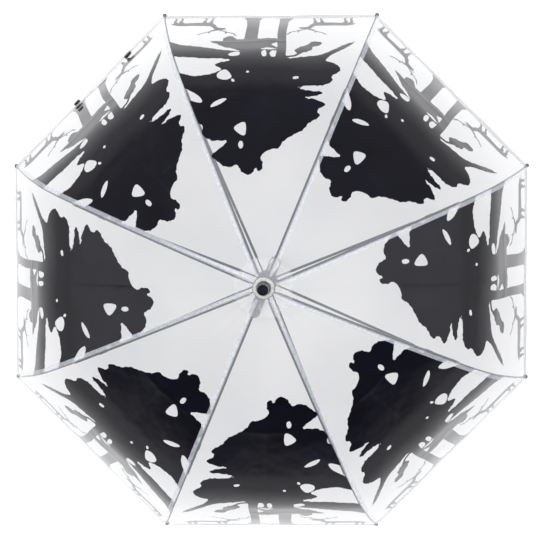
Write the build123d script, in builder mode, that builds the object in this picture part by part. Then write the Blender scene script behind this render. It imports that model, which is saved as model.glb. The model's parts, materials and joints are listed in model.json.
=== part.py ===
from build123d import *
from math import atan2, cos, degrees, hypot, radians, sin
import os

os.makedirs("parts", exist_ok=True)

# Driving sizes, in millimetres and degrees. The frame's origin is on the shaft's axis at the
# middle of the straight grip, +Z runs up the shaft to the ferrule, the hook lies under a rib.
RIBS = 8
CROWN_Z = 645.0  # rib hinges above the origin
TIP_R = 406.0  # end of a rib tip from the shaft's axis
TIP_DROP = 383.0  # end of a rib tip below the rib hinges
SLOPES = (10.0, 30.0, 67.0, 76.0)  # rib below level: hub, start and end of the shoulder, rim
SHOULDER_R = 150.0
HINGE_R = 12.0  # rib hinges and runner notches from the axis
RIB_LIFT = 1.2  # rib centreline above its hinge at the crown
STRETCHER_SLOPE = 26.5  # rib slope where the stretcher is riveted on
PIN_DROP = 3.0  # that rivet below the rib's centreline
FOLD = 65.0  # how far a rib folds down
SHAFT_D = 10.0
SHAFT_WALL = 0.7
WIRE_D = 2.2
TIP_LENGTH = 20.0
CHANNEL_W, CHANNEL_H, CHANNEL_T = 4.2, 3.2, 0.6
FILM_T = 0.3
FILM_OUT = 2.4  # inside of the film above the ribs' centreline
HUB_HOLE_R = 7.0
PATCH_R = 38.0  # second layer of film round the hub
GRIP_TOP = 45.0
HANDLE_D = 19.0
HOOK_R = 45.0
HOOK_TAIL = 15.0
HOOK_TURN = 22.5      # from -X round the shaft, which brings the hook under a rib
RUNNER_BELOW = 44.0

# Worked out from those.
STEP = 360 / RIBS
FLAT = cos(radians(STEP / 2))
MOUTH_R = TIP_R - TIP_LENGTH * cos(radians(SLOPES[3]))
MOUTH_DROP = TIP_DROP - TIP_LENGTH * sin(radians(SLOPES[3]))
SHAFT_R = SHAFT_D / 2


def arc_span(low, high):
    """How far out and down an arc of radius 1 runs while its slope goes from low to high."""
    return sin(radians(high)) - sin(radians(low)), cos(radians(low)) - cos(radians(high))


def rib_arcs():
    """The rib's three arcs: the radii of the first and last make it end at its tip's mouth."""
    hub, start, end, rim = SLOPES
    (a, d), (b, e), (c, f) = arc_span(hub, start), arc_span(start, end), arc_span(end, rim)
    out = MOUTH_R - HINGE_R - SHOULDER_R * b
    down = MOUTH_DROP + RIB_LIFT - SHOULDER_R * e
    first = (out * f - down * c) / (a * f - d * c)
    last = (a * down - d * out) / (a * f - d * c)
    return (first, hub, start), (SHOULDER_R, start, end), (last, end, rim)


ARCS = rib_arcs()


def rib_point(slope, out=0.0):
    """Radius and height of the rib's centreline where it has this slope, moved out by out."""
    r, z = HINGE_R, CROWN_Z + RIB_LIFT
    for radius, low, high in ARCS:
        dr, dz = arc_span(low, min(max(slope, low), high))
        r, z = r + radius * dr, z - radius * dz
    return r + out * sin(radians(slope)), z + out * cos(radians(slope))


def arc_centre(index):
    radius, low, high = ARCS[index]
    return rib_point(low, -radius)


def section_plane(index, slope):
    """The plane across the rib at this slope: its origin is the arc's centre, its Y is outward."""
    r, z = arc_centre(index)
    return Plane((r, 0, z), x_dir=(0, 1, 0), z_dir=(cos(radians(slope)), 0, -sin(radians(slope))))


def arc_axis(index):
    r, z = arc_centre(index)
    return Axis((r, 0, z), (0, 1, 0))


def side_plane(y):
    """The rib's own plane moved to y, looking along -Y, so a sketch's X is out and its Y is up."""
    return Plane((0, y, 0), x_dir=(1, 0, 0), z_dir=(0, -1, 0))


def slope_after(index, slope, length):
    return slope + degrees(length / ARCS[index][0])


def save_ring(shape, name):
    """Saves one copy of shape at every rib, counted from the one next to +X."""
    for k in range(RIBS):
        piece = shape.rotate(Axis.Z, STEP * (k + 0.5))
        piece.label = f"{name}_{k + 1}"
        export_step(piece, f"parts/{piece.label}.step")


# Linkage: the stretcher is as long as the rib from its hinge to the rivet, so the runner's
# notches stay straight below the crown's, and the stretcher turns twice as far as the rib.
PIN = rib_point(STRETCHER_SLOPE, -PIN_DROP)
ARM = hypot(PIN[0] - HINGE_R, CROWN_Z - PIN[1])
ARM_SLOPE = degrees(atan2(CROWN_Z - PIN[1], PIN[0] - HINGE_R))
RUNNER_Z = CROWN_Z - 2 * ARM * sin(radians(ARM_SLOPE))
RUNNER_TRAVEL = 2 * ARM * (sin(radians(ARM_SLOPE + FOLD)) - sin(radians(ARM_SLOPE)))
KNEE = rib_point(SLOPES[1])
MOUTH = rib_point(SLOPES[3])
CATCH_TOP = RUNNER_Z - RUNNER_BELOW - 0.4

# Shaft: a steel tube with a slot for each of the two spring catches.
with BuildPart() as shaft_tube:
    with BuildSketch(Plane.XY.offset(GRIP_TOP - 75)):
        Circle(SHAFT_R)
        Circle(SHAFT_R - SHAFT_WALL, mode=Mode.SUBTRACT)
    extrude(amount=CROWN_Z + 34 - (GRIP_TOP - 75))
    for top in (CATCH_TOP, CATCH_TOP - RUNNER_TRAVEL):
        with Locations((0, SHAFT_R, top - 5.5)):
            Box(2.6, 4, 11.6, mode=Mode.SUBTRACT)
shaft_tube.part.label = "shaft_tube"
export_step(shaft_tube.part, "parts/shaft_tube.step")


# Spring catches: flat on top, where the runner rests, and sloping below, where it slides over.
def save_catch(name, top):
    with BuildPart() as catch:
        with BuildSketch(Plane((-1.0, 0, top), x_dir=(0, 1, 0), z_dir=(1, 0, 0))):
            with BuildLine():
                Polyline((3.2, 0), (7.2, 0), (7.2, -3), (5.1, -11), (3.2, -11), close=True)
            make_face()
        extrude(amount=2.0)
    catch.part.label = name
    export_step(catch.part, f"parts/{name}.step")


save_catch("top_catch", CATCH_TOP)
save_catch("bottom_catch", CATCH_TOP - RUNNER_TRAVEL)

# Handle: one round bar bent into a hook, with a rounded end and a bore for the shaft.
with BuildPart() as handle:
    with BuildLine(Plane.XZ) as path:
        Line((0, GRIP_TOP), (0, -GRIP_TOP))
        ThreePointArc((0, -GRIP_TOP), (-HOOK_R, -GRIP_TOP - HOOK_R), (-2 * HOOK_R, -GRIP_TOP))
        Line((-2 * HOOK_R, -GRIP_TOP), (-2 * HOOK_R, -GRIP_TOP + HOOK_TAIL))
    with BuildSketch(Plane.XY.offset(GRIP_TOP)):
        Circle(HANDLE_D / 2)
    sweep()
    fillet(handle.edges().group_by(Axis.Z)[-1], 2.5)
    with Locations((-2 * HOOK_R, 0, -GRIP_TOP + HOOK_TAIL)):
        Sphere(HANDLE_D / 2)
    with Locations((0, 0, GRIP_TOP)):
        Cylinder(SHAFT_R, 75, align=(Align.CENTER, Align.CENTER, Align.MAX), mode=Mode.SUBTRACT)
piece = handle.part.rotate(Axis.Z, HOOK_TURN)
piece.label = "handle"
export_step(piece, "parts/handle.step")

with BuildPart() as handle_collar:
    with BuildSketch(Plane.XZ):
        with BuildLine():
            Polyline((5.0, 45.0), (7.4, 45.0), (8.2, 46.0), (8.2, 51.0), (6.4, 53.5), (5.0, 53.5),
                     close=True)
        make_face()
    revolve(axis=Axis.Z)
handle_collar.part.label = "handle_collar"
export_step(handle_collar.part, "parts/handle_collar.step")

# Crown: a notched disc on the shaft. A wire ring through it is the hinge of all the ribs.
with BuildPart() as crown:
    with Locations((0, 0, CROWN_Z - 3.2)):
        Cylinder(14.5, 5.4, align=(Align.CENTER, Align.CENTER, Align.MIN))
        Cylinder(8.5, 9.0, align=(Align.CENTER, Align.CENTER, Align.MAX))
    fillet(crown.edges().filter_by(GeomType.CIRCLE).sort_by(SortBy.RADIUS)[-2:], 0.8)
    with Locations((0, 0, CROWN_Z)):
        Cylinder(SHAFT_R, 40, mode=Mode.SUBTRACT)
        Torus(HINGE_R, 0.8, mode=Mode.SUBTRACT)
    for k in range(RIBS):
        with BuildSketch(Plane.XY.offset(CROWN_Z - 3.2).rotated((0, 0, STEP * (k + 0.5)))):
            with Locations((9.0, 0)):
                Rectangle(8, 3.0, align=(Align.MIN, Align.CENTER))
    extrude(amount=5.4, mode=Mode.SUBTRACT)
crown.part.label = "crown"
export_step(crown.part, "parts/crown.step")

with BuildPart() as crown_wire:
    with Locations((0, 0, CROWN_Z)):
        Torus(HINGE_R, 0.8)
crown_wire.part.label = "crown_wire"
export_step(crown_wire.part, "parts/crown_wire.step")

# Runner: a notched flange for the stretchers, a barrel for the fingers, and a groove in the
# bore that passes over the two catches.
with BuildPart() as runner:
    with BuildSketch(Plane.XZ):
        with BuildLine():
            Polyline(
                (SHAFT_R + 0.08, RUNNER_Z + 5), (8.0, RUNNER_Z + 5), (8.7, RUNNER_Z + 4.3),
                (8.7, RUNNER_Z + 2.5), (14.0, RUNNER_Z + 2.5), (14.5, RUNNER_Z + 2),
                (14.5, RUNNER_Z - 2), (14.0, RUNNER_Z - 2.5), (8.7, RUNNER_Z - 2.5),
                (8.7, RUNNER_Z - 12), (8.2, RUNNER_Z - 16), (8.2, RUNNER_Z - 32),
                (9.4, RUNNER_Z - 37), (9.4, RUNNER_Z - 42), (8.6, RUNNER_Z - RUNNER_BELOW),
                (SHAFT_R + 0.08, RUNNER_Z - RUNNER_BELOW), close=True,
            )
        make_face()
    revolve(axis=Axis.Z)
    for k in range(RIBS):
        with BuildSketch(Plane.XY.offset(RUNNER_Z - 2.5).rotated((0, 0, STEP * (k + 0.5)))):
            with Locations((9.3, 0)):
                Rectangle(8, 3.0, align=(Align.MIN, Align.CENTER))
    extrude(amount=5.0, mode=Mode.SUBTRACT)
    with Locations((0, 0, RUNNER_Z - RUNNER_BELOW - 1)):
        Box(3.2, 7.6, RUNNER_BELOW + 8, align=(Align.CENTER, Align.MIN, Align.MIN),
            mode=Mode.SUBTRACT)
runner.part.label = "runner"
export_step(runner.part, "parts/runner.step")

# Ferrule: a flared plastic cap pressed over the top of the shaft, with a steel nub at its end.
with BuildPart() as ferrule_cap:
    with BuildSketch(Plane.XZ):
        with BuildLine():
            low, top = CROWN_Z + 7.7, CROWN_Z + 49
            a = Line((SHAFT_R, low), (9.0, low))
            b = Polyline((9.0, low), (9.4, low + 1.2), (9.2, low + 3.5))
            c = Spline((9.2, low + 3.5), (7.9, low + 11), (7.0, low + 19.5),
                       tangents=((-0.1, 1), (0, 1)))
            d = Line((7.0, low + 19.5), (7.0, top - 3))
            e = ThreePointArc((7.0, top - 3), (6.1, top - 0.9), (4.0, top))
            Polyline((4.0, top), (1.2, top), (1.2, CROWN_Z + 40), (0, CROWN_Z + 40),
                     (0, CROWN_Z + 34), (SHAFT_R, CROWN_Z + 34), (SHAFT_R, low))
        make_face()
    revolve(axis=Axis.Z)
ferrule_cap.part.label = "ferrule_cap"
export_step(ferrule_cap.part, "parts/ferrule_cap.step")

with BuildPart() as ferrule_nub:
    with Locations((0, 0, CROWN_Z + 40)):
        Cylinder(1.2, 9, align=(Align.CENTER, Align.CENTER, Align.MIN))
    with Locations((0, 0, CROWN_Z + 49)):
        Cylinder(2.3, 2, align=(Align.CENTER, Align.CENTER, Align.MIN))
    fillet(ferrule_nub.edges().group_by(Axis.Z)[-1], 0.9)
ferrule_nub.part.label = "ferrule_nub"
export_step(ferrule_nub.part, "parts/ferrule_nub.step")

with BuildPart() as top_washer:
    with BuildSketch(Plane.XZ):
        with BuildLine():
            Polyline((SHAFT_R, CROWN_Z + 5.9), (12.6, CROWN_Z + 5.9), (13.3, CROWN_Z + 6.4),
                     (12.2, CROWN_Z + 7.2), (9.5, CROWN_Z + 7.7), (SHAFT_R, CROWN_Z + 7.7),
                     close=True)
        make_face()
    revolve(axis=Axis.Z)
top_washer.part.label = "top_washer"
export_step(top_washer.part, "parts/top_washer.step")


# Film: it is pulled straight from rib to rib, so a panel is the rib's curve, narrowed to the
# panel's middle, run straight across and cut off at both ribs.
def film_curve(out, last):
    """The edges of that curve at out above the ribs' centreline, from the hub to slope last."""
    r, z = rib_point(SLOPES[0], out)
    lead = 6.5
    start = (FLAT * (r - lead * cos(radians(SLOPES[0]))), z + lead * sin(radians(SLOPES[0])))
    Line(start, (FLAT * r, z))
    for index, (radius, low, high) in enumerate(ARCS):
        if low < last:
            cr, cz = arc_centre(index)
            high = min(high, last)
            EllipticalCenterArc((FLAT * cr, cz), FLAT * (radius + out), radius + out,
                                start_angle=90 - high, arc_size=high - low)
    return start


def film_panel(out, last):
    r, z = rib_point(last, out)
    r2, z2 = rib_point(last, out + FILM_T)
    with BuildPart() as panel:
        with BuildSketch(side_plane(0)):
            with BuildLine():
                inner = film_curve(out, last)
                outer = film_curve(out + FILM_T, last)
                Line(inner, outer)
                Line((FLAT * r, z), (FLAT * r2, z2))
            make_face()
        extrude(amount=TIP_R / 2, both=True)
        with BuildSketch(Plane.XY):
            with BuildLine():
                reach, side = TIP_R * 1.2, TIP_R * 1.2 * sin(radians(STEP / 2)) / FLAT
                Polyline((0, 0), (reach, -side), (reach, side), close=True)
            make_face()
        extrude(amount=CROWN_Z + 50, mode=Mode.INTERSECT)
        with Locations((0, 0, CROWN_Z)):
            Cylinder(HUB_HOLE_R, 60, mode=Mode.SUBTRACT)
    return panel.part


panel = film_panel(FILM_OUT, slope_after(2, SLOPES[3], -2.0))
for k in range(RIBS):
    piece = panel.rotate(Axis.Z, STEP * k)
    piece.label = f"canopy_panel_{k + 1}"
    export_step(piece, f"parts/{piece.label}.step")

patch_panel = film_panel(FILM_OUT + 0.7, slope_after(0, SLOPES[0], PATCH_R - HINGE_R))
with BuildPart() as reinforcing_disc:
    for k in range(RIBS):
        add(patch_panel.rotate(Axis.Z, STEP * k))
reinforcing_disc.part.label = "reinforcing_disc"
export_step(reinforcing_disc.part, "parts/reinforcing_disc.step")

# Rib, inner part: a folded steel channel open below, with a tongue in the crown's notch, a
# saddle for the stretcher's rivet and two ears for the spring wire.
with BuildPart() as rib_channel:
    first, last = slope_after(0, SLOPES[0], 7.2), slope_after(0, SLOPES[1], -3.2)
    with BuildSketch(section_plane(0, first)):
        with Locations((0, ARCS[0][0])):
            Rectangle(CHANNEL_W, CHANNEL_H)
        with Locations((0, ARCS[0][0] - CHANNEL_T)):
            Rectangle(CHANNEL_W - 2 * CHANNEL_T, CHANNEL_H, mode=Mode.SUBTRACT)
    revolve(axis=arc_axis(0), revolution_arc=last - first)
    with BuildSketch(side_plane(1.0)):
        with BuildSketch(mode=Mode.PRIVATE) as tongue:
            with Locations((HINGE_R, CROWN_Z)):
                Circle(2.2)
            with Locations(rib_point(slope_after(0, SLOPES[0], 18))):
                Circle(1.5)
        make_hull(tongue.edges())
        with Locations((HINGE_R, CROWN_Z)):
            Circle(0.9, mode=Mode.SUBTRACT)
    extrude(amount=2.0)
    for y in (CHANNEL_W / 2 + 0.6, -CHANNEL_W / 2):
        with BuildSketch(side_plane(y)):
            with BuildSketch(mode=Mode.PRIVATE) as saddle:
                with Locations(PIN):
                    Circle(2.3)
                for step in (-5, 5):
                    with Locations(rib_point(slope_after(0, STRETCHER_SLOPE, step), 0.6)):
                        Circle(0.9)
            make_hull(saddle.edges())
        extrude(amount=0.6)
    with BuildSketch(side_plane(CHANNEL_W / 2 + 0.6)):
        with Locations(PIN):
            Circle(0.9)
    extrude(amount=CHANNEL_W + 1.2)
    for y in (CHANNEL_W / 2, -CHANNEL_W / 2 + CHANNEL_T):
        with BuildSketch(side_plane(y)):
            with BuildSketch(mode=Mode.PRIVATE) as ear:
                with Locations(KNEE, rib_point(slope_after(0, SLOPES[1], -6))):
                    Circle(1.6)
            make_hull(ear.edges())
        extrude(amount=CHANNEL_T)
    with BuildSketch(side_plane(CHANNEL_W / 2)):
        with Locations(KNEE):
            Circle(0.7)
    extrude(amount=CHANNEL_W)
save_ring(rib_channel.part, "rib_channel")

# Rib, outer part: a spring wire with a knuckle between the channel's ears. It runs over the
# shoulder and down the side, and straight on into the tip.
with BuildPart() as rib_wire:
    with BuildSketch(side_plane(1.4)):
        with Locations(KNEE):
            Circle(1.5)
    extrude(amount=2.8)
    with BuildSketch(section_plane(1, slope_after(1, SLOPES[1], 0.9))):
        with Locations((0, ARCS[1][0])):
            Circle(WIRE_D / 2)
    revolve(axis=arc_axis(1), revolution_arc=SLOPES[2] - slope_after(1, SLOPES[1], 0.9))
    with BuildSketch(section_plane(2, SLOPES[2])):
        with Locations((0, ARCS[2][0])):
            Circle(WIRE_D / 2)
    revolve(axis=arc_axis(2), revolution_arc=SLOPES[3] - SLOPES[2])
    with BuildSketch(section_plane(2, SLOPES[3])):
        with Locations((0, ARCS[2][0])):
            Circle(WIRE_D / 2)
    extrude(amount=14)
    with BuildSketch(side_plane(1.4)):
        with Locations(KNEE):
            Circle(0.78)
    extrude(amount=2.8, mode=Mode.SUBTRACT)
save_ring(rib_wire.part, "rib_wire")

# Tip: a plastic cap with a ball end over the end of the wire.
mouth_plane = Plane((MOUTH[0], 0, MOUTH[1]), x_dir=(0, 1, 0),
                    z_dir=(cos(radians(SLOPES[3])), 0, -sin(radians(SLOPES[3]))))
with BuildPart() as rib_tip:
    with BuildSketch(mouth_plane):
        Circle(2.1)
    extrude(amount=TIP_LENGTH - 3)
    fillet(rib_tip.edges().group_by(Axis.Z)[-1], 0.6)
    with Locations(mouth_plane.offset(TIP_LENGTH - 3)):
        Sphere(3.0)
    with BuildSketch(mouth_plane):
        Circle(WIRE_D / 2)
    extrude(amount=14, mode=Mode.SUBTRACT)
save_ring(rib_tip.part, "rib_tip")

# Stretcher: a folded channel with a flat tongue at each end.
arm_plane = Plane((PIN[0], 0, PIN[1]), x_dir=(HINGE_R - PIN[0], 0, RUNNER_Z - PIN[1]),
                  z_dir=(0, -1, 0))
with BuildPart() as stretcher:
    with BuildSketch(arm_plane.offset(-1.2)):
        with Locations((0, 0)):
            Circle(1.9)
        with Locations((15, 0)):
            Rectangle(30, 2.6)
        Circle(0.98, mode=Mode.SUBTRACT)
    extrude(amount=2.4)
    with BuildSketch(arm_plane.offset(-1.0)):
        with Locations((ARM, 0)):
            Circle(2.0)
        with Locations((ARM - 17, 0)):
            Rectangle(34, 2.6)
        with Locations((ARM, 0)):
            Circle(0.9, mode=Mode.SUBTRACT)
    extrude(amount=2.0)
    with BuildSketch(arm_plane.offset(-1.7)):
        with Locations((20, 0)):
            Rectangle(ARM - 44, 2.6, align=(Align.MIN, Align.CENTER))
    extrude(amount=3.4)
    with BuildSketch(arm_plane.offset(-1.2)):
        with Locations((34, 0.6)):
            Rectangle(ARM - 72, 2.6, align=(Align.MIN, Align.CENTER))
    extrude(amount=2.4, mode=Mode.SUBTRACT)
save_ring(stretcher.part, "stretcher")


# Closure strap with its two snaps, and the stud that it closes on, low on one panel.
def panel_plane(azimuth, slope, out):
    """A plane on the middle of a panel's outside: X runs round the canopy and Y up the panel."""
    r, z = rib_point(slope, FILM_OUT + FILM_T)
    nr, nz = sin(radians(slope)), FLAT * cos(radians(slope))
    nr, nz = nr / hypot(nr, nz), nz / hypot(nr, nz)
    r, z = FLAT * r + out * nr, z + out * nz
    c, s = cos(radians(azimuth)), sin(radians(azimuth))
    return Plane((r * c, r * s, z), x_dir=(-s, c, 0), z_dir=(nr * c, nr * s, nz))


STRAP_AT, STRAP_TURN = (-27.0, 0.0), -17.9
strap_plane = panel_plane(90, slope_after(2, SLOPES[3], -27), 0.4)
with BuildPart() as closure_strap:
    with BuildSketch(strap_plane):
        with Locations(STRAP_AT):
            SlotOverall(122, 15, rotation=STRAP_TURN)
    extrude(amount=0.6)
closure_strap.part.label = "closure_strap"
export_step(closure_strap.part, "parts/closure_strap.step")

with BuildPart() as strap_snaps:
    with BuildSketch(strap_plane.offset(0.9)):
        for side in (-1, 1):
            with Locations((STRAP_AT[0] + side * 53.5 * cos(radians(STRAP_TURN)),
                            STRAP_AT[1] + side * 53.5 * sin(radians(STRAP_TURN)))):
                Circle(5.0)
    extrude(amount=2.0, taper=20)
strap_snaps.part.label = "strap_snaps"
export_step(strap_snaps.part, "parts/strap_snaps.step")

with BuildPart() as snap_stud:
    with BuildSketch(panel_plane(90, slope_after(2, SLOPES[3], -52), 0.4)):
        with Locations((24, 0)):
            Circle(4.8)
    extrude(amount=1.6, taper=20)
snap_stud.part.label = "snap_stud"
export_step(snap_stud.part, "parts/snap_stud.step")
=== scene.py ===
import bpy, bmesh, json, math
import numpy as np
from mathutils import Matrix, Vector


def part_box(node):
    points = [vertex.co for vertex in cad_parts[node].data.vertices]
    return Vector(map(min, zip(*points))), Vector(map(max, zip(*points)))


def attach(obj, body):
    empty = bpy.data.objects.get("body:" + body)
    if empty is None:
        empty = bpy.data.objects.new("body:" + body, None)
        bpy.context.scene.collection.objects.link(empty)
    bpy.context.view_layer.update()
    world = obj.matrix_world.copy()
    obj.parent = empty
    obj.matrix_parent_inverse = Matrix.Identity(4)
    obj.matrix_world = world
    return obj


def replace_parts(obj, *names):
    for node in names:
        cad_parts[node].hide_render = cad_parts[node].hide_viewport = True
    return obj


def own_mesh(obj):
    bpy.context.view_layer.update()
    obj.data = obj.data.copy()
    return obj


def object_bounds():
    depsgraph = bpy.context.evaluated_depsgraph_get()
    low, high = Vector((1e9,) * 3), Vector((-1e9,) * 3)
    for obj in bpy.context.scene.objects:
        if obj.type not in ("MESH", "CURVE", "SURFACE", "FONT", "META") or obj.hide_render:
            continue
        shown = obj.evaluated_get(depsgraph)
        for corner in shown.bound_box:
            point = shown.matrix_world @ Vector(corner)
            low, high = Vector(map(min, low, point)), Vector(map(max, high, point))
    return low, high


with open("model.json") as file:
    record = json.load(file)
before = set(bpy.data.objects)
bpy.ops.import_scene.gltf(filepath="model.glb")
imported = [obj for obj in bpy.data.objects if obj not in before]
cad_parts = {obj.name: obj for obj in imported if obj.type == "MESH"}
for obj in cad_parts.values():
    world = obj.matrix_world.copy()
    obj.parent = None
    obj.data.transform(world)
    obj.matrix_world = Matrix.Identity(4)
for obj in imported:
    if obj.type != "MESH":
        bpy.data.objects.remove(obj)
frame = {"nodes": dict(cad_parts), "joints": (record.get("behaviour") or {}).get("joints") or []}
cad_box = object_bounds()
nodes = frame["nodes"]
joints = {j["name"]: j for j in frame["joints"]}

# --- Shaft -------------------------------------------------------------------
# A thin steel tube with a baked black lacquer, drawn lengthwise, so its faint
# grain runs up and down. It goes into the handle below and the crown above.


def finish(name, **sockets):
    """A new material and its Principled node, with plain values on the node's own sockets."""
    mat = bpy.data.materials.new(name)
    mat.use_nodes = True
    surface = mat.node_tree.nodes["Principled BSDF"]
    for socket, value in sockets.items():
        surface.inputs[socket.replace("_", " ")].default_value = value
    return mat, surface


def noise(mat, stretch, scale, detail=3.0):
    """A noise that follows the object's own coordinates; returns the socket of its value."""
    tree = mat.node_tree
    place = tree.nodes.new("ShaderNodeMapping")
    place.inputs["Scale"].default_value = stretch
    tree.links.new(tree.nodes.new("ShaderNodeTexCoord").outputs["Object"], place.inputs["Vector"])
    cloud = tree.nodes.new("ShaderNodeTexNoise")
    cloud.inputs["Scale"].default_value = scale
    cloud.inputs["Detail"].default_value = detail
    tree.links.new(place.outputs["Vector"], cloud.inputs["Vector"])
    return cloud.outputs["Fac"]


def colours(mat, surface, value, dark, light):
    """Colour that goes from dark to light with a noise's value."""
    ramp = mat.node_tree.nodes.new("ShaderNodeValToRGB")
    for stop, at, colour in zip(ramp.color_ramp.elements, (0.3, 0.7), (dark, light)):
        stop.position, stop.color = at, (*colour, 1)
    mat.node_tree.links.new(value, ramp.inputs["Fac"])
    mat.node_tree.links.new(ramp.outputs["Color"], surface.inputs["Base Color"])


def polish(mat, surface, value, low, high):
    """Roughness that wanders between low and high with a noise's value."""
    span = mat.node_tree.nodes.new("ShaderNodeMapRange")
    span.inputs["To Min"].default_value, span.inputs["To Max"].default_value = low, high
    mat.node_tree.links.new(value, span.inputs["Value"])
    mat.node_tree.links.new(span.outputs["Result"], surface.inputs["Roughness"])


def relief(mat, surface, value, strength, depth):
    """Fine unevenness of the surface that follows a noise's value."""
    bump = mat.node_tree.nodes.new("ShaderNodeBump")
    bump.inputs["Strength"].default_value, bump.inputs["Distance"].default_value = strength, depth
    mat.node_tree.links.new(value, bump.inputs["Height"])
    mat.node_tree.links.new(bump.outputs["Normal"], surface.inputs["Normal"])


def dress(part, mat, angle=35):
    """Gives a part its finish and smooth shading with crisp edges."""
    part.data.materials.clear()
    part.data.materials.append(mat)
    bpy.ops.object.select_all(action="DESELECT")
    part.select_set(True)
    bpy.context.view_layer.objects.active = part
    bpy.ops.object.shade_smooth_by_angle(angle=math.radians(angle))


lacquer, surface = finish("shaft_lacquer", Metallic=0.3, Coat_Weight=0.4, IOR=1.5)
drawn = noise(lacquer, (90, 90, 6), 4.0)
colours(lacquer, surface, drawn, (0.012, 0.013, 0.016), (0.035, 0.037, 0.042))
polish(lacquer, surface, drawn, 0.2, 0.38)
relief(lacquer, surface, drawn, 0.1, 0.0002)
dress(nodes["shaft_tube"], lacquer)

# --- Handle ------------------------------------------------------------------
# A hook bent from one round bar of black plastic, moulded and buffed to a gloss,
# with a bright pressed ring where the shaft goes in.
black_gloss, surface = finish("black_gloss", IOR=1.5, Coat_Weight=0.35, Coat_Roughness=0.06)
buffed = noise(black_gloss, (25, 25, 25), 3.0, 5.0)
colours(black_gloss, surface, buffed, (0.005, 0.005, 0.007), (0.018, 0.018, 0.022))
polish(black_gloss, surface, buffed, 0.14, 0.28)
relief(black_gloss, surface, noise(black_gloss, (700, 700, 700), 1.0), 0.08, 0.0002)
dress(nodes["handle"], black_gloss)

chrome, surface = finish("collar_chrome", Metallic=1.0)
turned = noise(chrome, (150, 150, 1400), 1.0)
colours(chrome, surface, turned, (0.55, 0.56, 0.58), (0.78, 0.79, 0.80))
polish(chrome, surface, turned, 0.1, 0.26)
dress(nodes["handle_collar"], chrome)

# --- Crown and runner --------------------------------------------------------
# Notched mouldings in dull grey nylon: the crown is fixed near the top and holds
# the ribs on a wire ring, the runner slides and carries the stretchers.
nylon, surface = finish("grey_nylon", IOR=1.46)
moulded = noise(nylon, (60, 60, 60), 4.0, 5.0)
colours(nylon, surface, moulded, (0.035, 0.036, 0.04), (0.075, 0.077, 0.085))
polish(nylon, surface, moulded, 0.4, 0.62)
relief(nylon, surface, moulded, 0.15, 0.0003)
for name in ("crown", "runner"):
    dress(nodes[name], nylon)

wire, surface = finish("spring_wire", Metallic=0.9, IOR=1.6)
rubbed = noise(wire, (60, 60, 60), 6.0)
colours(wire, surface, rubbed, (0.16, 0.17, 0.20), (0.34, 0.35, 0.39))
polish(wire, surface, rubbed, 0.22, 0.42)
for name in ("crown_wire", "top_catch", "bottom_catch"):
    dress(nodes[name], wire)

# --- Ribs and stretchers -----------------------------------------------------
# Each rib is a channel rolled from blued steel strip as far as the shoulder, then
# a springy wire down to a small black ball tip. A riveted stretcher pushes it out.
black_moulded, surface = finish("black_moulded", IOR=1.5, Specular_IOR_Level=0.14)
eggshell = noise(black_moulded, (40, 40, 40), 3.0, 4.0)
colours(black_moulded, surface, eggshell, (0.002, 0.002, 0.004), (0.007, 0.007, 0.012))
polish(black_moulded, surface, eggshell, 0.18, 0.34)
relief(black_moulded, surface, eggshell, 0.05, 0.0002)
blued, surface = finish("blued_steel", Metallic=0.6, IOR=1.6)
rolled = noise(blued, (30, 30, 30), 6.0, 4.0)
colours(blued, surface, rolled, (0.022, 0.026, 0.040), (0.060, 0.070, 0.095))
polish(blued, surface, rolled, 0.28, 0.5)
relief(blued, surface, rolled, 0.1, 0.0002)
for k in range(1, 9):
    dress(nodes[f"rib_channel_{k}"], blued)
    dress(nodes[f"stretcher_{k}"], blued)
    dress(nodes[f"rib_wire_{k}"], wire)
    dress(nodes[f"rib_tip_{k}"], black_moulded)

# --- Canopy film -------------------------------------------------------------
# Eight gores of clear PVC welded edge to edge, pulled straight from rib to rib.
# Each piece of film is centred on a rib and split at its knee, so that it goes
# with the rib as the umbrella closes.
RIBS = 8
STEP = 2 * math.pi / RIBS
FLAT, HALF = math.cos(STEP / 2), math.sin(STEP / 2)
HUB_R, HUB_Z = 0.012, joints["rib_fold_1"]["pos_m"][2] + 0.0012
SLOPES = [math.radians(a) for a in (10, 30, 67, 76)]
KNEE = joints["rib_flex_1"]["pos_m"]
KNEE_R = math.hypot(KNEE[0], KNEE[1])
RIM_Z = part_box("canopy_panel_1")[0].z
SHOULDER = 0.150
CROWN_ARC = (KNEE_R - HUB_R) / (math.sin(SLOPES[1]) - math.sin(SLOPES[0]))
SIDE_ARC = 1.3377  # bow of the wires between the shoulder and their tips
ARCS = (CROWN_ARC, SHOULDER, SIDE_ARC)
ARC_LENGTHS = [r * (b - a) for r, a, b in zip(ARCS, SLOPES, SLOPES[1:])]
TO_KNEE = ARC_LENGTHS[0]
ABOVE_RIB = 0.00255  # film above the ribs' centreline
FILM_CELL, ACROSS = 0.0065, 56
TOP, RIM = -0.0045, sum(ARC_LENGTHS) - 0.002


def rib_line(s, out=0.0):
    """Radius, height and slope of a rib at length s from the hub, moved outwards by out."""
    r, z, slope = HUB_R, HUB_Z, SLOPES[0]
    if s < 0:
        r, z = r + s * math.cos(slope), z - s * math.sin(slope)
    for radius, low, length in zip(ARCS, SLOPES, ARC_LENGTHS):
        if s <= 0:
            break
        slope = low + min(s, length) / radius
        r += radius * (math.sin(slope) - math.sin(low))
        z -= radius * (math.cos(low) - math.cos(slope))
        s -= length
    return r + out * math.sin(slope), z + out * math.cos(slope), slope


def half_width(s):
    """Half the straight span between two ribs at length s from the hub."""
    return rib_line(s, ABOVE_RIB)[0] * HALF


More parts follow.
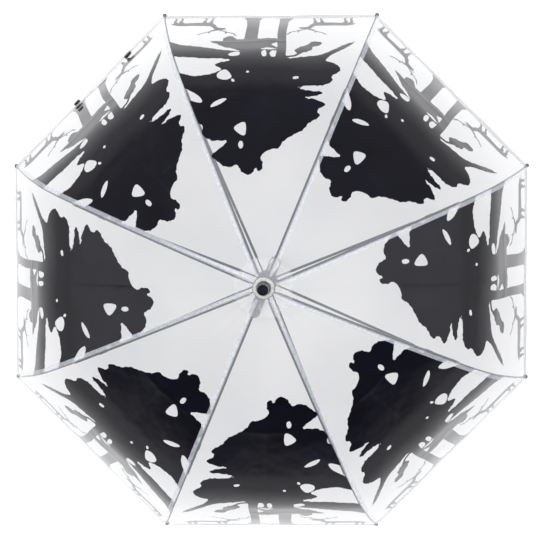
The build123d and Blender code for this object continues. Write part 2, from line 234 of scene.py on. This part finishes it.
def slack(x, s, reach):
    """How far film stands off its straight span: pleats at the hub, the folds that it was
    packed in and soft waves, all of it fading out at the ribs."""
    free = max(0.0, 1 - (x / max(reach, 1e-6)) ** 2)
    pleats = 0.0006 * math.cos(x / max(reach, 1e-6) * 11) * math.exp(-((s - 0.04) / 0.08) ** 2)
    fold = 0.0005 * math.exp(-abs(x) / 0.003) * min(1.0, s / 0.15)
    folds = 0.0004 * sum(math.exp(-abs(s + 0.12 * abs(x) - at) / 0.005) for at in (0.205, 0.41))
    waves = 0.0009 * math.sin(s * 31 + x * 17) * math.sin(x * 38 - s * 9 + 0.7)
    return free * (pleats + fold + folds + waves)


def on_film(panel, x, s, lift=0.0):
    """A place on a panel: x across from its middle, s down from the hub, lift above the film."""
    r, z, slope = rib_line(s, ABOVE_RIB)
    out = lift + slack(x, s, r * HALF)
    nr, nz = math.sin(slope), FLAT * math.cos(slope)
    size = math.hypot(nr, nz)
    r, z = r * FLAT + out * nr / size, z + out * nz / size
    c, t = math.cos(panel * STEP), math.sin(panel * STEP)
    return Vector((r * c - x * t, r * t + x * c, z))


def lay(name, cuts, place, mat):
    """A finely cut sheet, each of its points moved to place(u, v), u and v from 0 to 1."""
    bpy.ops.object.select_all(action="DESELECT")
    bpy.ops.mesh.primitive_grid_add(x_subdivisions=cuts[0], y_subdivisions=cuts[1], size=1)
    sheet = bpy.context.active_object
    sheet.name = sheet.data.name = name
    for vert in sheet.data.vertices:
        vert.co = place(vert.co.x + 0.5, vert.co.y + 0.5)
    bpy.ops.object.mode_set(mode="EDIT")
    bpy.ops.mesh.select_all(action="SELECT")
    bpy.ops.mesh.flip_normals()
    bpy.ops.object.mode_set(mode="OBJECT")
    sheet.data.materials.append(mat)
    bpy.ops.object.shade_smooth()
    return sheet


def gather(piece, rib, part):
    """Sends a piece with one part of a rib, on a mesh of its own."""
    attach(piece, f"rib_{rib + 1}" if part == "inner" else f"rib_outer_{rib + 1}")
    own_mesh(piece)


def beside(rib, u, s, lift=0.0):
    """A place on the film round a rib, u from 0 to 1 between the middles of its two panels."""
    reach = half_width(s)
    if u <= 0.5:
        return on_film(rib, 2 * u * reach, s, lift)
    return on_film(rib + 1, (2 * u - 2) * reach, s, lift)


film, surface = finish("clear_film", Roughness=0.1, Alpha=0.3, IOR=1.5)
colours(film, surface, noise(film, (4, 4, 4), 2.0), (0.42, 0.43, 0.45), (0.58, 0.58, 0.58))
relief(film, surface, noise(film, (18, 18, 5), 1.6, 2.0), 0.3, 0.004)
PARTS = {"inner": (TOP, TO_KNEE), "outer": (TO_KNEE, RIM)}
for rib in range(RIBS):
    for part, (start, end) in PARTS.items():
        rows = round((end - start) / FILM_CELL)
        sheet = lay(f"film_{part}_{rib + 1}", (ACROSS, rows),
                    lambda u, v: beside(rib, u, start + v * (end - start)), film)
        gather(sheet, rib, part)
        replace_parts(sheet, f"canopy_panel_{rib + 1}", f"canopy_panel_{(rib + 1) % RIBS + 1}")
        widths = [2 * half_width(start + (i + 0.5) / 200 * (end - start)) for i in range(200)]
        2 * half_width(end)

# --- Tree print --------------------------------------------------------------
# A broad tree with two trunks and a deer on each side of it, screen printed in
# black on every gore. The drawing is in millimetres, across from the middle of
# the gore and down from the hub, and the same on all eight.
CROWN = [(3, 168), (2, 160), (8, 155), (12, 160), (15, 153), (22, 150), (29, 154), (35, 165),
         (43, 161), (52, 163), (60, 170), (68, 179), (58, 189), (49, 200), (68, 201), (80, 209),
         (92, 219), (120, 240), (160, 270), (160, 316), (116, 313), (98, 307), (80, 308),
         (66, 313), (59, 321), (68, 329), (58, 336), (47, 339), (60, 344), (90, 346), (125, 350),
         (165, 356), (165, 424), (134, 410), (117, 394), (90, 384), (66, 374), (44, 367),
         (36, 365), (46, 376), (58, 384), (68, 398), (78, 410), (62, 413), (52, 411), (45, 421),
         (28, 424), (8, 425), (-12, 424), (-13, 408), (-6, 396), (-13, 380), (-12, 366),
         (-16, 352), (-30, 345), (-46, 348), (-60, 351), (-72, 354), (-90, 372), (-101, 388),
         (-118, 406), (-108, 382), (-96, 364), (-84, 350), (-79, 338), (-93, 329), (-98, 316),
         (-87, 306), (-86, 296), (-76, 289), (-58, 288), (-41, 285), (-57, 280), (-75, 277),
         (-66, 271), (-49, 269), (-66, 265), (-78, 257), (-67, 249), (-70, 238), (-57, 228),
         (-47, 216), (-33, 207), (-24, 200), (-19, 190), (-8, 187), (4, 179)]
LEAVES = [[(-42, 360), (-37, 371), (-44, 384), (-54, 396), (-63, 410), (-73, 404), (-70, 391),
           (-61, 384), (-61, 373), (-52, 364)],
          [(42, 416), (56, 410), (61, 420), (59, 432), (52, 441), (45, 432)]]
GAPS = [[(28, 191), (32, 189), (34, 196), (31, 201), (28, 198)],
        [(25, 211), (31, 210), (40, 221), (26, 230)],
        [(50, 267), (59, 258), (71, 253), (67, 261), (57, 267)],
        [(82, 261), (94, 263), (112, 273), (140, 290), (114, 288), (98, 280), (86, 271)],
        [(81, 215), (86, 214), (92, 227), (81, 225)],
        [(45, 303), (53, 299), (63, 303), (63, 312), (54, 319), (47, 311)],
        [(-43, 301), (-36, 300), (-36, 304), (-42, 305)],
        [(22, 312), (26, 312), (25, 316), (22, 315)],
        [(41, 295), (45, 297), (44, 301), (41, 299)],
        [(36, 353), (46, 350), (51, 356), (43, 363), (35, 361)],
        [(-13, 351), (-7, 348), (-4, 358), (-8, 369), (-13, 363)],
        [(0, 351), (5, 349), (7, 362), (2, 369)],
        [(-12, 375), (-2, 371), (9, 373), (-1, 379)]]
LIMBS = [  # points along a limb with half its thickness at each
    [(-18, 335, 7), (-20, 380, 6), (-19, 450, 6), (-21, 530, 6.5), (-24, 560, 10), (-25, 590, 20)],
    [(23, 340, 14), (22, 380, 12), (23, 430, 9), (22, 500, 8.5), (23, 540, 9.5), (24, 562, 13),
     (25, 590, 24)],
    [(-24, 348, 2.5), (-38, 352, 2), (-50, 368, 2)],
]
DEER = [(-9, 5), (-4, -1), (2, -3), (7, 2), (9, 10), (13, 20), (22, 23), (40, 25), (56, 24),
        (63, 29), (64, 38), (60, 43), (50, 44), (36, 47), (20, 46), (12, 41), (6, 28), (3, 14),
        (-3, 10), (-9, 9)]
DEER_LIMBS = [
    [(14, 40, 4), (13, 54, 2.2), (12, 70, 1.6), (11, 84, 1.6)],
    [(22, 42, 4), (23, 56, 2.2), (21, 70, 1.6), (22, 84, 1.6)],
    [(54, 40, 4.5), (57, 54, 2.4), (55, 70, 1.6), (57, 84, 1.6)],
    [(61, 36, 4), (65, 52, 2.2), (64, 70, 1.6), (66, 84, 1.6)],
    [(64, 30, 2), (69, 39, 1.5)], [(2, -1, 2), (12, -6, 1.2)], [(-2, 0, 1.8), (-11, -3, 1.1)],
    [(0, -3, 1.6), (-10, -13, 1.5), (-21, -21, 1.3), (-25, -34, 1.0)],
    [(3, -3, 1.6), (13, -13, 1.5), (22, -22, 1.3), (28, -33, 1.0)],
    [(-10, -13, 1.2), (-11, -25, 0.9)], [(13, -13, 1.2), (12, -25, 0.9)],
]
HERD = [(69, 476, 1), (-52, 478, -1)]
PRINT_RISE = 4.0  # the drawing sits this much nearer the hub than it is drawn
PRINT_TOP, PRINT_CELL, GORE_REACH = 0.14, 0.0021, 0.162


def depth_in_ring(ring, x, s):
    """How deep places lie inside a closed smooth curve, negative outside it."""
    p = np.array(ring, float)
    before, after, second = np.roll(p, 1, 0), np.roll(p, -1, 0), np.roll(p, -2, 0)
    t = (np.arange(5) / 5)[None, :, None]
    a, b, c, d = (v[:, None, :] for v in (before, p, after, second))
    p = (0.5 * (2 * b + (c - a) * t + (2 * a - 5 * b + 4 * c - d) * t ** 2
                + (3 * b - a - 3 * c + d) * t ** 3)).reshape(-1, 2)
    inside, near = np.zeros(x.shape, bool), np.full(x.shape, 1e9)
    for (x0, s0), (x1, s1) in zip(p, np.roll(p, -1, 0)):
        dx, ds = x1 - x0, s1 - s0
        t = np.clip(((x - x0) * dx + (s - s0) * ds) / (dx * dx + ds * ds + 1e-9), 0, 1)
        near = np.minimum(near, (x - x0 - t * dx) ** 2 + (s - s0 - t * ds) ** 2)
        if s0 != s1:
            inside ^= ((s0 > s) != (s1 > s)) & (x < x0 + (s - s0) * dx / ds)
    return np.where(inside, 1, -1) * np.sqrt(near)


def depth_in_limb(limb, x, s):
    """How deep places lie inside a limb that tapers from point to point."""
    depth = np.full(x.shape, -1e9)
    for (x0, s0, r0), (x1, s1, r1) in zip(limb, limb[1:]):
        dx, ds = x1 - x0, s1 - s0
        t = np.clip(((x - x0) * dx + (s - s0) * ds) / (dx * dx + ds * ds), 0, 1)
        depth = np.maximum(depth, r0 + t * (r1 - r0) - np.hypot(x - x0 - t * dx, s - s0 - t * ds))
    return depth


def depth_in_print(x, s):
    """How deep places lie inside the printed picture, with a leafy edge to the tree."""
    leafy = (1.0 * np.sin(0.55 * x + 1.3 * np.sin(0.31 * s)) * np.sin(0.49 * s + np.sin(0.4 * x))
             + 0.7 * np.sin(1.3 * x + 0.6 * s) * np.sin(1.1 * s - 0.5 * x))
    depth = depth_in_ring(CROWN, x, s) + leafy
    for leaves in LEAVES:
        depth = np.maximum(depth, depth_in_ring(leaves, x, s) + leafy)
    for gap in GAPS:
        depth = np.minimum(depth, -depth_in_ring(gap, x, s))
    for limb in LIMBS:
        depth = np.maximum(depth, depth_in_limb(limb, x, s) + 0.3 * leafy)
    for at, down, way in HERD:
        depth = np.maximum(depth, depth_in_ring(DEER, (x - at) * way, s - down))
        for limb in DEER_LIMBS:
            depth = np.maximum(depth, depth_in_limb(limb, (x - at) * way, s - down))
    return depth


def ground_top(x):
    """Where the ground starts below the hub, in metres like x."""
    return 0.556 + 0.003 * np.sin(31 * x + 0.5) + 0.0012 * np.sin(120 * x)


def cut_out(start, end, side):
    """The picture between two lengths, on one side of a gore: points (x, s) and faces."""
    rows = round((end - start) / PRINT_CELL)
    s = np.linspace(start, end, rows + 1)
    x = side * np.arange(0, GORE_REACH, PRINT_CELL)
    edge = np.array([half_width(v) for v in s])[:, None]
    grid_x, grid_s = np.meshgrid(x, s)
    depth = np.minimum(depth_in_print(grid_x * 1000, grid_s * 1000 + PRINT_RISE),
                       (edge - np.abs(grid_x)) * 1000 - 0.2)
    depth = np.minimum(depth, (ground_top(grid_x) - grid_s) * 1000 + 2)
    points, faces, made = [], [], {}

    def point(key, x_at, s_at):
        if key not in made:
            made[key] = len(points)
            points.append((x_at, s_at))
        return made[key]

    for i in range(rows):
        for j in range(len(x) - 1):
            corners = [(i, j), (i, j + 1), (i + 1, j + 1), (i + 1, j)]
            if max(depth[c] for c in corners) <= 0:
                continue
            ring = []
            for a, b in zip(corners, corners[1:] + corners[:1]):
                if depth[a] > 0:
                    ring.append(point(a, x[a[1]], s[a[0]]))
                if (depth[a] > 0) != (depth[b] > 0):
                    a, b = sorted((a, b))
                    t = depth[a] / (depth[a] - depth[b])
                    ring.append(point((a, b), x[a[1]] + t * (x[b[1]] - x[a[1]]),
                                      s[a[0]] + t * (s[b[0]] - s[a[0]])))
            if side > 0:
                ring.reverse()
            faces.append(ring)
    return points, faces


ink, surface = finish("tree_ink", Roughness=0.18, IOR=1.4)
colours(ink, surface, noise(ink, (9, 9, 9), 2.5, 4.0), (0.001, 0.001, 0.003),
        (0.003, 0.003, 0.008))
relief(ink, surface, noise(ink, (18, 18, 5), 1.6, 2.0), 0.25, 0.004)
INK_ABOVE = 0.00018
halves = {(part, side): cut_out(max(start, PRINT_TOP), end, side)
          for part, (start, end) in PARTS.items() for side in (1, -1)}
for rib in range(RIBS):
    for part in PARTS:
        points, faces = [], []
        for side, panel in ((1, rib), (-1, rib + 1)):
            flat, rings = halves[part, side]
            faces += [[v + len(points) for v in ring] for ring in rings]
            points += [on_film(panel, x, s, INK_ABOVE) for x, s in flat]
        data = bpy.data.meshes.new(f"print_{part}_{rib + 1}")
        data.from_pydata(points, [], faces)
        data.materials.append(ink)
        tree = bpy.data.objects.new(data.name, data)
        bpy.context.scene.collection.objects.link(tree)
        tree.data.shade_smooth()
        gather(tree, rib, part)

# --- Printed ground ----------------------------------------------------------
# Under the tree the print ends in a pale grey strip of ground with a rolling top,
# which runs round the whole canopy just above the hem.
pale_ink, surface = finish("ground_ink", Roughness=0.3, Alpha=0.4, Specular_IOR_Level=0.3)
colours(pale_ink, surface, noise(pale_ink, (30, 30, 30), 3.0), (0.20, 0.20, 0.22),
        (0.36, 0.36, 0.38))
for rib in range(RIBS):
    def ground(u, v):
        x = (2 * u - 2 * (u > 0.5)) * half_width(RIM)
        top = ground_top(x)
        return beside(rib, u, top + v * (RIM - 0.0008 - top), 0.0001)
    gather(lay(f"ground_{rib + 1}", (ACROSS, 5), ground, pale_ink), rib, "outer")

# --- Welded seams and hem ----------------------------------------------------
# Where two gores meet they are pressed together in a strip that lies over the rib,
# to one side of it. The rim is turned up and welded in the same way.
weld, surface = finish("welded_film", Roughness=0.18, Alpha=0.5, IOR=1.5, Coat_Weight=0.5)
pressed = noise(weld, (160, 160, 160), 2.0)
colours(weld, surface, pressed, (0.50, 0.54, 0.60), (0.80, 0.82, 0.86))
relief(weld, surface, pressed, 0.3, 0.0006)
SEAM_NEAR, SEAM_FAR = 0.0006, 0.0066
SEAM_START, SEAM_CELL, HEM_DEEP = 0.005, 0.006, 0.0032
for rib in range(RIBS):
    way = 1 if rib in (1, 5) else -1
    for part, (start, end) in PARTS.items():
        start = max(start, SEAM_START)

        def strip(u, v):
            s = start + v * (end - start)
            off = SEAM_NEAR + (u if way > 0 else 1 - u) * (SEAM_FAR - SEAM_NEAR)
            off *= way * min(1.0, half_width(s) / 0.012)
            reach = half_width(s)
            lift = 0.0005 if 0.1 < u < 0.9 else 0.0003
            if off <= 0:
                return on_film(rib, reach + off, s, lift)
            return on_film(rib + 1, off - reach, s, lift)
        gather(lay(f"seam_{part}_{rib + 1}", (6, round((end - start) / SEAM_CELL)), strip, weld),
               rib, part)

    def hem(u, v):
        s = RIM - HEM_DEEP * max(0.0, 2 * v - 1) + 0.0006 * math.sin(math.pi * v)
        return beside(rib, u, s, 0.0008 * v - 0.0003)
    gather(lay(f"hem_{rib + 1}", (ACROSS, 4), hem, weld), rib, "outer")

# --- Second layer round the hub ----------------------------------------------
# A round patch of milkier film under the washer, drawn into small pleats by it.
# It is in eight pieces, so that each goes with its own rib.
milky, surface = finish("milky_film", Roughness=0.2, Alpha=0.18, IOR=1.5, Coat_Weight=0.3)
pleated = noise(milky, (50, 50, 50), 2.0)
colours(milky, surface, pleated, (0.76, 0.78, 0.82), (0.97, 0.97, 0.97))
relief(milky, surface, pleated, 0.4, 0.002)
PATCH_END = 0.0275
for rib in range(RIBS):
    def pleats(u, v):
        s = TOP + v * (PATCH_END - TOP)
        return beside(rib, u, s, 0.0011 + 0.0006 * v * math.cos(6 * math.pi * u))
    patch = lay(f"hub_patch_{rib + 1}", (24, 10), pleats, milky)
    gather(patch, rib, "inner")
    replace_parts(patch, "reinforcing_disc")

# --- Washer and ferrule ------------------------------------------------------
# A clear disc clamps the film's centre, and a black plastic ferrule with a round
# end is pushed over the shaft's top.
washer, surface = finish("washer_clear", Roughness=0.12, Alpha=0.6, IOR=1.49)
speck = noise(washer, (300, 300, 300), 1.5, 2.0)
colours(washer, surface, speck, (0.55, 0.54, 0.53), (0.95, 0.95, 0.93))
relief(washer, surface, speck, 0.2, 0.0004)
dress(nodes["top_washer"], washer)
dress(nodes["ferrule_cap"], black_moulded)
dress(nodes["ferrule_nub"], black_moulded)

# --- Closure strap and snaps -------------------------------------------------
# A clear strip with round ends lies on one gore near the rim, riveted through a
# black snap at one end, with a smaller snap at the free end and a stud to close on.
STRAP_PANEL, STRAP_RIB, STRAP_HALF = 2, 1, 0.0075
STRAP_ENDS = ((-0.0779, 0.0434), (0.0239, 0.0106))  # across, and up from the rim
STRAP_ABOVE, EDGE = 0.0012, RIM + 0.002


def strap_place(u, v):
    """A place on the strap, u along it and v across it, narrowing to its round ends."""
    (x0, up0), (x1, up1) = STRAP_ENDS
    length = math.hypot(x1 - x0, up1 - up0)
    ax, au = (x1 - x0) / length, (up1 - up0) / length
    along = -STRAP_HALF + u * (length + 2 * STRAP_HALF)
    over = max(0.0, -along, along - length)
    side = (2 * v - 1) * math.sqrt(max(STRAP_HALF ** 2 - over ** 2, 1e-9))
    return on_film(STRAP_PANEL, x0 + along * ax + side * au,
                   EDGE - (up0 + along * au - side * ax), STRAP_ABOVE)


strap_film, surface = finish("strap_film", Roughness=0.15, Alpha=0.6, Coat_Weight=0.5)
scuffed = noise(strap_film, (90, 90, 90), 2.0)
colours(strap_film, surface, scuffed, (0.46, 0.50, 0.60), (0.70, 0.73, 0.82))
relief(strap_film, surface, scuffed, 0.25, 0.001)
strap = lay("strap", (72, 6), strap_place, strap_film)
gather(strap, STRAP_RIB, "outer")
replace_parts(strap, "closure_strap")


def snap(name, x, up, radius, height):
    """A pressed snap: a low round button with a rolled edge and a dished middle."""
    s = EDGE - up
    at = on_film(STRAP_PANEL, x, s, 0.0014)
    out = (on_film(STRAP_PANEL, x, s, 0.01) - on_film(STRAP_PANEL, x, s)).normalized()
    bpy.ops.object.select_all(action="DESELECT")
    bpy.ops.mesh.primitive_cylinder_add(vertices=40, radius=radius, depth=height,
                                        location=at + out * height / 2,
                                        rotation=out.to_track_quat("Z", "Y").to_euler())
    button = bpy.context.active_object
    button.name = button.data.name = name
    bpy.ops.object.mode_set(mode="EDIT")
    mesh = bmesh.from_edit_mesh(button.data)
    for face in mesh.faces:
        face.select = face.normal.z > 0.9
    bmesh.update_edit_mesh(button.data)
    bpy.ops.mesh.inset(thickness=radius * 0.3)
    bpy.ops.transform.translate(value=out * -height * 0.35)
    bpy.ops.mesh.inset(thickness=radius * 0.25)
    bpy.ops.transform.translate(value=out * height * 0.2)
    bpy.ops.object.mode_set(mode="OBJECT")
    rolled_edge = button.modifiers.new("rolled_edge", "BEVEL")
    rolled_edge.width, rolled_edge.segments = height * 0.22, 3
    bpy.ops.object.modifier_apply(modifier="rolled_edge")
    bpy.ops.object.transform_apply(location=True, rotation=True, scale=True)
    dress(button, black_gloss)
    gather(button, STRAP_RIB, "outer")
    return button


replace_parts(snap("snap_rivet", *STRAP_ENDS[0], 0.0064, 0.0042), "strap_snaps")
snap("snap_end", *STRAP_ENDS[1], 0.0054, 0.0036)
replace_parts(snap("stud", 0.024, 0.052, 0.0050, 0.0032), "snap_stud")

# --- Floor -------------------------------------------------------------------
# A plain pale sheet a millimetre under the hook, wide enough to meet the walls
# far away. A faint glow of its own keeps it pale from the side.
paint, surface = finish("floor_paint", Roughness=0.9, Emission_Color=(1, 1, 1, 1),
                        Emission_Strength=0.12)
colours(paint, surface, noise(paint, (2, 2, 2), 1.0), (0.94, 0.94, 0.94), (0.96, 0.96, 0.96))
bpy.ops.object.select_all(action="DESELECT")
FLOOR_WIDE, FLOOR_GAP = 60, 0.001
bpy.ops.mesh.primitive_plane_add(size=FLOOR_WIDE, location=(0, 0, cad_box[0].z - FLOOR_GAP))
floor = bpy.context.active_object
floor.name = "floor"
floor.data.materials.append(paint)

# --- Room and lamps ----------------------------------------------------------
# A room that is white near the horizon. Higher up it is bright overhead, dark
# towards -X -Y and grey towards +X +Y. One soft box hangs over the canopy.
world = bpy.data.worlds.new("room")
bpy.context.scene.world = world
bpy.context.scene.view_settings.view_transform = "Standard"
world.use_nodes = True
tree = world.node_tree
direction = tree.nodes.new("ShaderNodeTexCoord").outputs["Generated"]
forward = tree.nodes.new("ShaderNodeVectorMath")
forward.operation = "DOT_PRODUCT"
forward.inputs[1].default_value = (0.3536, 0.3536, 0)
shift = tree.nodes.new("ShaderNodeMath")
shift.inputs[1].default_value = 0.5
walls = tree.nodes.new("ShaderNodeValToRGB")
stops = walls.color_ramp.elements
stops[0].position, stops[1].position = 0.30, 0.42
for at in (0.56, 0.70):
    stops.new(at)
for stop, grey in zip(stops, (0.10, 1.45, 1.50, 0.42)):
    stop.color = (grey, grey, grey * 1.04, 1)
split = tree.nodes.new("ShaderNodeSeparateXYZ")
height = tree.nodes.new("ShaderNodeMapRange")
height.inputs["From Min"].default_value, height.inputs["From Max"].default_value = 0.22, 0.42
blend = tree.nodes.new("ShaderNodeMix")
blend.data_type = "RGBA"
for source, socket in ((direction, forward.inputs[0]), (forward.outputs["Value"], shift.inputs[0]),
                       (shift.outputs["Value"], walls.inputs["Fac"]),
                       (direction, split.inputs["Vector"]),
                       (split.outputs["Z"], height.inputs["Value"]),
                       (height.outputs["Result"], blend.inputs["Factor"])):
    tree.links.new(source, socket)
colour_a = [s for s in blend.inputs if s.name == "A" and s.type == "RGBA"][0]
colour_b = [s for s in blend.inputs if s.name == "B" and s.type == "RGBA"][0]
mixed = [s for s in blend.outputs if s.type == "RGBA"][0]
colour_a.default_value = (1, 1, 1, 1)
tree.links.new(walls.outputs["Color"], colour_b)
tree.links.new(mixed, tree.nodes["Background"].inputs["Color"])
tree.nodes["Background"].inputs["Strength"].default_value = 1.0


def soft_box(name, at, aim, size, power):
    """A rectangular lamp at one place, aimed at another."""
    data = bpy.data.lights.new(name, "AREA")
    data.shape, data.size, data.size_y, data.energy = "RECTANGLE", size[0], size[1], power
    lamp = bpy.data.objects.new(name, data)
    bpy.context.scene.collection.objects.link(lamp)
    lamp.location = at
    lamp.rotation_euler = (Vector(aim) - Vector(at)).to_track_quat("-Z", "Y").to_euler()
    return lamp


soft_box("box_above", (0.2, 0.25, 4.4), (0, 0, 0.3), (1.6, 1.6), 100).visible_glossy = False

# --- Camera ------------------------------------------------------------------
# Almost straight above the open canopy, turned so that the gore midway between
# +X and +Y points up. It stands a little up and right of the hub, so the ferrule
# leans to the lower left.
DISTANCE, FOCAL, SENSOR = 2.56, 114.7, 36
turn = Matrix.Rotation(-math.radians(45), 3, "Z")
eye = turn @ Vector((0.022, 0.053, 1.0)).normalized()
aim = turn @ Vector((0.0062, 0.0052, 0)) + Vector((0, 0, RIM_Z))
right = turn @ Vector((1, 0, 0))
right = (right - eye * right.dot(eye)).normalized()
lens = bpy.data.cameras.new("camera")
lens.sensor_width, lens.lens = SENSOR, FOCAL
camera = bpy.data.objects.new("camera", lens)
bpy.context.scene.collection.objects.link(camera)
camera.matrix_world = Matrix.Translation(aim + eye * DISTANCE) @ Matrix(
    (right, eye.cross(right), eye)).transposed().to_4x4()
bpy.context.scene.camera = camera

bpy.context.view_layer.update()
